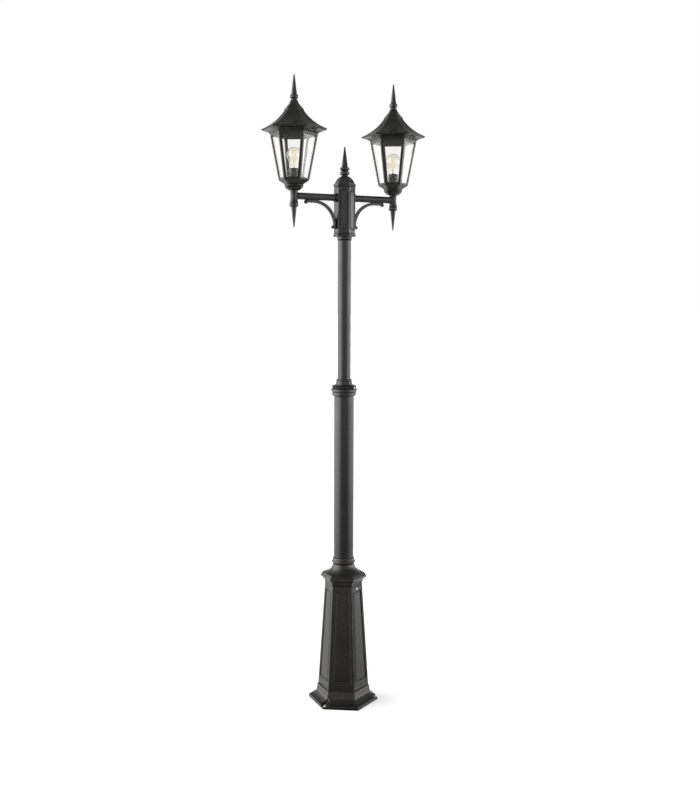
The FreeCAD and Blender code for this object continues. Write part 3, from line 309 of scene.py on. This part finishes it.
def step_prism(bm, radius, low, high, sides):
    """A closed upright prism on the Z axis."""
    bmesh.ops.create_cone(bm, cap_ends=True, segments=sides, radius1=radius, radius2=radius, depth=high - low,
                          matrix=Matrix.Translation((0, 0, (low + high) / 2)))


def anchor_bolt(name, place):
    """A shank, a flange and a dished head with broken edges, standing at its place."""
    flange_radius, flange_height = BOLT_FLANGE
    head_radius, head_height = BOLT_HEAD
    dish_rim, dish_depth = BOLT_DISH
    flange_top = BOLT_SEAT + flange_height
    bm = bmesh.new()
    step_prism(bm, BOLT_SHANK, BOLT_FOOT, BOLT_SEAT, BOLT_SHANK_SIDES)
    step_prism(bm, flange_radius, BOLT_SEAT, flange_top, BOLT_FLANGE_SIDES)
    step_prism(bm, head_radius, flange_top, flange_top + head_height, BOLT_HEAD_SIDES)
    crown = max(bm.faces, key=lambda face: face.calc_center_median().z)
    bmesh.ops.inset_individual(bm, faces=[crown], thickness=dish_rim, depth=0.0)
    bmesh.ops.inset_individual(bm, faces=[crown], thickness=BOLT_EDGE, depth=-dish_depth)
    bmesh.ops.bevel(bm, geom=sharp_edges(bm, BOLT_SHARP), offset=BOLT_EDGE, segments=2, profile=0.5,
                    affect="EDGES", clamp_overlap=True, material=-1)
    bmesh.ops.transform(bm, verts=bm.verts, matrix=place)
    show(bm, name, "post", zinc, BOLT_SHARP)


bare_metal_skin = metal_group()
zinc = bare_metal("bright zinc", ZINC, ZINC_DULL, ZINC_PATCHES)
holes = next(mount["dims"] for mount in frame["record"]["mounts"] if mount["name"] == "anchor_holes")
outwards = Matrix.Translation((holes["pcd_mm"] / 2 * MILLIMETRE, 0, 0))
for bolt in range(holes["count"]):
    turn = Matrix.Rotation(FIRST_BOLT + 2 * math.pi * bolt / holes["count"], 4, "Z")
    anchor_bolt(f"anchor_bolt_{bolt + 1}", turn @ outwards)


# Service door. A flat casting with the same sunk panel as the other faces, hooked behind its sill,
# and held at the top by one bright screw in a counterbore.

DOOR_EDGE = 0.0008
SCREW_EDGE = 0.0003

cast_piece("base_door", "door", cast_coat, DOOR_EDGE, grooved=True)
cast_piece("door_screw", "door", zinc, SCREW_EDGE)


# Connection box, its lid, the terminal strip inside it, and the cable up the post.
# The box and lid are moulded in grey plastic and screwed to two bosses of the pedestal.

MOULDED_GREY = (0.16, 0.165, 0.17, 1)
MOULDED_GREY_PALE = (0.21, 0.215, 0.22, 1)
STRIP_PALE = (0.62, 0.60, 0.55, 1)
STRIP_SHADE = (0.52, 0.50, 0.46, 1)
SHEATH = (0.012, 0.012, 0.012, 1)
SHEATH_PALE = (0.022, 0.022, 0.022, 1)
PLASTIC_PEEL = 1500.0
SHEATH_PEEL = 900.0
BOX_ROUGHNESS = 0.50
STRIP_ROUGHNESS = 0.45
SHEATH_ROUGHNESS = 0.55


def refinish(node, finish):
    """A CAD node that keeps its own mesh, with a new finish."""
    frame["nodes"][node].material_slots[0].material = finish


grey_plastic = satin_coat("moulded grey plastic", MOULDED_GREY, MOULDED_GREY_PALE, PLASTIC_PEEL,
                          BOX_ROUGHNESS)
pale_plastic = satin_coat("moulded pale plastic", STRIP_PALE, STRIP_SHADE, PLASTIC_PEEL, STRIP_ROUGHNESS)
rubber_sheath = satin_coat("black cable sheath", SHEATH, SHEATH_PALE, SHEATH_PEEL, SHEATH_ROUGHNESS)
for node in ("connection_box", "connection_box_lid"):
    refinish(node, grey_plastic)
refinish("terminal_strip", pale_plastic)
refinish("post_cable", rubber_sheath)


# Tubes. Two drawn aluminium tubes in the same satin black coat, finer in its peel than the castings'.
# The lower one stands in the pedestal's neck; the upper one stands in the collar on top of it.

TUBE_PEEL = 900.0

tube_coat = satin_coat("tube black coat", PEDESTAL_BLACK, PEDESTAL_BLOOM, TUBE_PEEL, COAT_ROUGHNESS)
for node in ("lower_tube", "upper_tube"):
    refinish(node, tube_coat)


# Collar. A turned aluminium reducer with two rings, and a cone that closes it, both coated black.
# It sits on the lower tube's end. Three bright set screws in its dull undercut drum clamp the upper tube.

COLLAR_EDGE = 0.0006
DRUM_RISE = (0.0020, 0.0092)  # from the cone's foot to the drum's lower and upper edge
DRUM_DULLNESS = 0.6

cast_piece("collar_ring", "post", tube_coat, COLLAR_EDGE, grooved=True)
cone = cast_piece("collar_cone", "post", tube_coat, COLLAR_EDGE, grooved=True)
cone_foot = min(vert.co.z for vert in cone.data.vertices)
drum_low, drum_high = (cone_foot + rise for rise in DRUM_RISE)
for face in cone.data.polygons:
    if drum_low < face.center.z < drum_high:
        cone.data.attributes["recess"].data[face.index].value = DRUM_DULLNESS
cast_piece("collar_screws", "post", zinc, SCREW_EDGE)


# Hub. A six-sided casting with round-ended panels, a domed cap and a turned finial, clamped to the tube
# by set screws; the wires of both arms meet in a terminal block inside it.

HUB_EDGE = 0.0008
CAP_EDGE = 0.0010
FINIAL_EDGE = 0.0005
# The head coat is the pedestal's satin black painted lighter. This is painted light: it stands in for the
# brighter light that falls on the arms and the hub's cap.
HEAD_PAINTED_LIGHT_BLACK = (0.014, 0.014, 0.0138, 1)
HEAD_PAINTED_LIGHT_BLOOM = (0.020, 0.020, 0.0196, 1)
HEAD_PEEL = 800.0
HEAD_ROUGHNESS = 0.30
BLACKENED = (0.045, 0.045, 0.045, 1)
BLACKENED_DULL = (0.030, 0.030, 0.030, 1)
BLACKENED_PATCHES = 300.0

painted_light_head_coat = satin_coat("head black coat with painted light", HEAD_PAINTED_LIGHT_BLACK, HEAD_PAINTED_LIGHT_BLOOM, HEAD_PEEL, HEAD_ROUGHNESS)
cast_piece("hub_body", "head", tube_coat, HUB_EDGE, grooved=True)
# The domed cap takes the head coat, whose lighter black is painted light.
cast_piece("hub_cap", "head", painted_light_head_coat, CAP_EDGE)
cast_piece("hub_finial", "head", tube_coat, FINIAL_EDGE, grooved=True)
black_screw = bare_metal("blackened steel", BLACKENED, BLACKENED_DULL, BLACKENED_PATCHES)
cast_piece("hub_screws", "head", black_screw, SCREW_EDGE)
refinish("hub_terminal_block", pale_plastic)


# Arms. On each side a tube from the hub into a waisted end piece, a drop finial under it,
# a curved brace with a ball at each end, and the lamp's lead inside.

ARM_END_EDGE = 0.0005
BRACE_EDGE = 0.0012
SHORTEST_ROUNDED = 0.0015
SIDES = ("left", "right")

for side in SIDES:
    # The arm tube takes the head coat, whose lighter black is painted light.
    refinish(f"{side}_arm", painted_light_head_coat)
    cast_piece(f"{side}_arm_end", "head", tube_coat, ARM_END_EDGE, grooved=True)
    cast_piece(f"{side}_drop_finial", "head", tube_coat, FINIAL_EDGE)
    cast_piece(f"{side}_brace", "head", tube_coat, BRACE_EDGE, shortest=SHORTEST_ROUNDED)
    refinish(f"{side}_arm_cable", rubber_sheath)


# Lantern bodies. A cup, a pan, a cage of six tapering corner bars and a coved eave on each arm's end.
# Each is a thin aluminium casting in the pedestal's coat; they are stacked and held by the lamp's stem.

LANTERN_EDGES = {"neck_cup": 0.0010, "pan": 0.0010, "cage": 0.0008, "eave": 0.0008}

for side in SIDES:
    for node, rounding in LANTERN_EDGES.items():
        cast_piece(f"{side}_{node}", "head", cast_coat, rounding, shortest=SHORTEST_ROUNDED)


# Panes. Six flat panes of clear float glass in each lantern, cut to the taper of its windows.
# They lean against the cage's corner bars from inside and are kept by the foot and head rings.

PANE_TINT = (0.992, 0.988, 0.974, 1)
SMOOTH_GLASS = 0.0
THIN_GLASS_IOR = 1.45
RIPPLE = (7.0, 2.0)  # waves in a metre and fineness
RIPPLE_BUMP = (0.02, 0.0003)  # strength and depth


def clear_glass(name, tint, roughness, ior):
    """Clear glass with a faint ripple, which lets the light of lamps straight through."""
    finish, tree, shader = new_finish(name)
    shader.inputs["Base Color"].default_value = tint
    shader.inputs["Roughness"].default_value = roughness
    shader.inputs["IOR"].default_value = ior
    shader.inputs["Transmission Weight"].default_value = 1.0
    raised(tree, shader, noise(tree, *RIPPLE), *RIPPLE_BUMP)
    through = tree.nodes.new("ShaderNodeBsdfTransparent")
    through.inputs["Color"].default_value = tint
    path = tree.nodes.new("ShaderNodeLightPath")
    mix = tree.nodes.new("ShaderNodeMixShader")
    tree.links.new(path.outputs["Is Shadow Ray"], mix.inputs["Fac"])
    tree.links.new(shader.outputs["BSDF"], mix.inputs[1])
    tree.links.new(through.outputs["BSDF"], mix.inputs[2])
    tree.links.new(mix.outputs["Shader"], tree.nodes["Material Output"].inputs["Surface"])
    return finish


pane_glass = clear_glass("clear pane glass", PANE_TINT, SMOOTH_GLASS, THIN_GLASS_IOR)
for side in SIDES:
    refinish(f"{side}_panes", pane_glass)


# Roofs. A thin cast roof with six hollow faces, a flared cap and a turned finial screwed down through it.
# Each roof lifts off its lantern when two blackened screws under the eave are taken out.

ROOF_EDGE = 0.0012
ROOF_CAP_EDGE = 0.0008

for side in SIDES:
    cast_piece(f"{side}_roof", f"{side}_roof", cast_coat, ROOF_EDGE)
    cast_piece(f"{side}_roof_cap", f"{side}_roof", cast_coat, ROOF_CAP_EDGE)
    cast_piece(f"{side}_roof_finial", f"{side}_roof", cast_coat, FINIAL_EDGE, grooved=True)
cast_piece("roof_screws", "head", black_screw, SCREW_EDGE)


# Lampholders. A glossy black moulded holder on a zinc-plated threaded stem, locked by a nut under the pan.
# A brass screw shell and a brass centre contact are pressed into it.

HOLDER_EDGE = 0.0006
HOLDER_BLACK = (0.004, 0.004, 0.004, 1)
HOLDER_BLOOM = (0.007, 0.007, 0.007, 1)
HOLDER_ROUGHNESS = 0.22
BRASS = (0.62, 0.43, 0.16, 1)
BRASS_DULL = (0.42, 0.28, 0.10, 1)
BRASS_PATCHES = 200.0

holder_plastic = satin_coat("moulded black plastic", HOLDER_BLACK, HOLDER_BLOOM, PLASTIC_PEEL,
                            HOLDER_ROUGHNESS)
brass = bare_metal("pressed brass", BRASS, BRASS_DULL, BRASS_PATCHES)
for side in SIDES:
    cast_piece(f"{side}_lampholder", "head", holder_plastic, HOLDER_EDGE)
    refinish(f"{side}_lampholder_contacts", brass)
    refinish(f"{side}_stem", zinc)
refinish("stem_nuts", zinc)


# Lamps. A blown clear glass on a nickel-plated screw cap, and inside it a pressed glass mount
# with four straight filaments round a centre wire. Their yellow coating carries a faint painted glow, which
# stands in for light on them.

NICKEL = (0.70, 0.68, 0.64, 1)
NICKEL_DULL = (0.50, 0.48, 0.45, 1)
NICKEL_PATCHES = 250.0
LAMP_TINT = (0.99, 0.975, 0.93, 1)
MOUNT_TINT = (0.95, 0.93, 0.88, 1)
MOUNT_ROUGHNESS = 0.05
MOUNT_IOR = 1.50
PHOSPHOR = (0.97, 0.91, 0.70, 1)
PHOSPHOR_PALE = (0.98, 0.94, 0.80, 1)
PHOSPHOR_PEEL = 2500.0
PHOSPHOR_ROUGHNESS = 0.50
PHOSPHOR_PAINTED_GLOW = 0.35

nickel = bare_metal("nickel plate", NICKEL, NICKEL_DULL, NICKEL_PATCHES)
lamp_glass = clear_glass("blown lamp glass", LAMP_TINT, SMOOTH_GLASS, THIN_GLASS_IOR)
mount_glass = clear_glass("pressed mount glass", MOUNT_TINT, MOUNT_ROUGHNESS, MOUNT_IOR)
filament_coat_with_painted_glow = satin_coat("filament coating with painted glow", PHOSPHOR, PHOSPHOR_PALE, PHOSPHOR_PEEL, PHOSPHOR_ROUGHNESS)
# A painted glow: emission that stands in for light on the filaments, though the lamps are not lit.
shader_of(filament_coat_with_painted_glow).inputs["Emission Color"].default_value = PHOSPHOR
shader_of(filament_coat_with_painted_glow).inputs["Emission Strength"].default_value = PHOSPHOR_PAINTED_GLOW
for side in SIDES:
    refinish(f"{side}_bulb_cap", nickel)
    refinish(f"{side}_bulb_glass", lamp_glass)
    refinish(f"{side}_bulb_mount", mount_glass)
    refinish(f"{side}_bulb_filament", filament_coat_with_painted_glow)


# Floor. A plain sheet of white paper, laid flat under the post.
# It shows white where it is lit and keeps the post's soft shadow.

FLOOR_SIZE = 60.0
FLOOR_WHITE = (0.86, 0.86, 0.86, 1)
FLOOR_ROUGHNESS = 0.9
FLOOR_GLOW = 0.25
WHITE = (1, 1, 1, 1)


def seen_directly(tree):
    """1 for rays that show the studio itself: from the camera, off gloss and through glass."""
    path = tree.nodes.new("ShaderNodeLightPath").outputs
    shown = combined(tree, "MAXIMUM", path["Is Camera Ray"], path["Is Glossy Ray"])
    return combined(tree, "MAXIMUM", shown, path["Is Transmission Ray"])


bm = bmesh.new()
bmesh.ops.create_grid(bm, x_segments=1, y_segments=1, size=FLOOR_SIZE)
floor_mesh = bpy.data.meshes.new("floor")
bm.to_mesh(floor_mesh)
bm.free()
floor = bpy.data.objects.new("floor", floor_mesh)
bpy.context.scene.collection.objects.link(floor)
floor.visible_glossy = False
floor.visible_transmission = False
paper, paper_tree, paper_shader = new_finish("white paper floor")
paper_shader.inputs["Base Color"].default_value = FLOOR_WHITE
paper_shader.inputs["Roughness"].default_value = FLOOR_ROUGHNESS
paper_shader.inputs["Specular IOR Level"].default_value = 0.0
paper_shader.inputs["Emission Color"].default_value = WHITE
glow = combined(paper_tree, "MULTIPLY", seen_directly(paper_tree), FLOOR_GLOW)
paper_tree.links.new(glow, paper_shader.inputs["Emission Strength"])
floor_mesh.materials.append(paper)


# Studio light. A white surround with two large soft boxes beside the post, which the coat mirrors: a tall one
# on the left and a lower one on the right. It is dim overhead, high up behind, and low down, most at the
# viewer's side. Two broad lamps at about the same places light the floor and throw the shadow.

AMBIENT = 0.40
HALF_BOUNCE = 0.5  # tells rays that came off gloss from all others
FRONT_AZIMUTH = -115
RIGHT_AZIMUTH = -25
LEFT_AZIMUTH = 163
UP = (0.0, 0.0, 1.0)
DIM_LOW_FRONT = (0.88, (0.10, 0.70), (0.02, -0.42))  # share taken off, then fades across and in height
DIM_LOW = (0.75, (-0.60, -0.20), (-0.10, -0.45))
DIM_HIGH_BACK = (0.60, (-0.45, -0.85), (0.08, 0.40))
DIM_OVERHEAD = (0.70, (0.60, 0.20), (0.20, 0.60))
GROUND_GLOW = 0.25
GROUND_FADE = (-0.40, -0.75)
LEFT_BOX = (4.0, (0.55, 1.00), (-0.33, -0.14), (0.95, 0.65))  # strength, then fades at sides, foot and top
RIGHT_BOX = (3.2, (0.62, 1.00), (-0.36, 0.04), (0.30, 0.08))
LEFT_LAMP = (4.2, 80, 150, 25)  # strength, then spread, azimuth and elevation in degrees
RIGHT_LAMP = (3.4, 76, -30, 10)


def towards(azimuth, elevation=0):
    """A direction by its angle round the post, counted from the right-hand arm, and its angle above level."""
    return Euler((0, -math.radians(elevation), math.radians(azimuth))).to_matrix() @ Vector((1, 0, 0))


def along(tree, axis):
    """How far a ray points along an axis, from -1 to 1."""
    where = tree.nodes.new("ShaderNodeTexCoord")
    dot = tree.nodes.new("ShaderNodeVectorMath")
    dot.operation = "DOT_PRODUCT"
    dot.inputs[1].default_value = axis
    tree.links.new(where.outputs["Generated"], dot.inputs[0])
    return dot.outputs["Value"]


def patch(tree, *fades):
    """A soft-edged part of the surround, where all its fades are 1."""
    mask = 1.0
    for value, limits in fades:
        mask = combined(tree, "MULTIPLY", mask, ranged(tree, value, limits, "SMOOTHSTEP"))
    return mask


def dimmed(tree, value, mask, share):
    """A value less a share of it where the mask is 1."""
    rest = combined(tree, "SUBTRACT", 1.0, combined(tree, "MULTIPLY", mask, share))
    return combined(tree, "MULTIPLY", value, rest)


world = bpy.data.worlds.new("white surround")
bpy.context.scene.world = world
world.use_nodes = True
tree = world.node_tree
ahead = along(tree, towards(FRONT_AZIMUTH))
rightward = along(tree, towards(RIGHT_AZIMUTH))
leftward = along(tree, towards(LEFT_AZIMUTH))
height = along(tree, UP)
mirrored = 1.0
for across, dims in ((ahead, (DIM_LOW_FRONT, DIM_LOW, DIM_HIGH_BACK)), (leftward, (DIM_OVERHEAD,))):
    for share, sides, rise in dims:
        mirrored = dimmed(tree, mirrored, patch(tree, (across, sides), (height, rise)), share)
mirrored = combined(tree, "MULTIPLY_ADD", patch(tree, (height, GROUND_FADE)), GROUND_GLOW, mirrored)
for across, (strength, sides, foot, top) in ((leftward, LEFT_BOX), (rightward, RIGHT_BOX)):
    box = patch(tree, (across, sides), (height, foot), (height, top))
    mirrored = combined(tree, "MULTIPLY_ADD", box, strength, mirrored)
path = tree.nodes.new("ShaderNodeLightPath").outputs
level = tree.nodes.new("ShaderNodeMix")
off_gloss = combined(tree, "GREATER_THAN", path["Glossy Depth"], HALF_BOUNCE)
tree.links.new(off_gloss, level.inputs["Factor"])
tree.links.new(dimmed(tree, 1.0, path["Is Diffuse Ray"], 1.0 - AMBIENT), level.inputs["A"])
tree.links.new(mirrored, level.inputs["B"])
surround = tree.nodes["Background"]
surround.inputs["Color"].default_value = WHITE
tree.links.new(level.outputs["Result"], surround.inputs["Strength"])
for name, (strength, spread, azimuth, elevation) in (("left light", LEFT_LAMP), ("right light", RIGHT_LAMP)):
    lamp = bpy.data.lights.new(name, "SUN")
    lamp.energy = strength
    lamp.angle = math.radians(spread)
    lamp_object = bpy.data.objects.new(name, lamp)
    lamp_object.rotation_euler = towards(azimuth, elevation).to_track_quat("Z", "Y").to_euler()
    lamp_object.visible_glossy = False
    lamp_object.visible_transmission = False
    bpy.context.scene.collection.objects.link(lamp_object)
bpy.context.scene.view_settings.view_transform = "Standard"


# Camera. It stands at the post's left front, a little below the lanterns, and looks slightly down.
# The lens is a long normal one with everything sharp.

CAMERA_DISTANCE = 3.75
CAMERA_HEIGHT = 1.572
CAMERA_TURN = math.radians(-24.98)
CAMERA_TILT = math.radians(2.08)
CAMERA_ROLL = math.radians(0.17)
CAMERA_LENS = 44.1
CAMERA_SHIFT = (0.0072, -0.090)

lens = bpy.data.cameras.new("camera")
lens.lens = CAMERA_LENS
lens.shift_x, lens.shift_y = CAMERA_SHIFT
camera = bpy.data.objects.new("camera", lens)
stand = (CAMERA_DISTANCE * math.sin(CAMERA_TURN), -CAMERA_DISTANCE * math.cos(CAMERA_TURN), CAMERA_HEIGHT)
look = Euler((math.pi / 2 - CAMERA_TILT, 0, CAMERA_TURN)).to_matrix().to_4x4()
camera.matrix_world = Matrix.Translation(stand) @ look @ Matrix.Rotation(CAMERA_ROLL, 4, "Z")
bpy.context.scene.collection.objects.link(camera)
bpy.context.scene.camera = camera
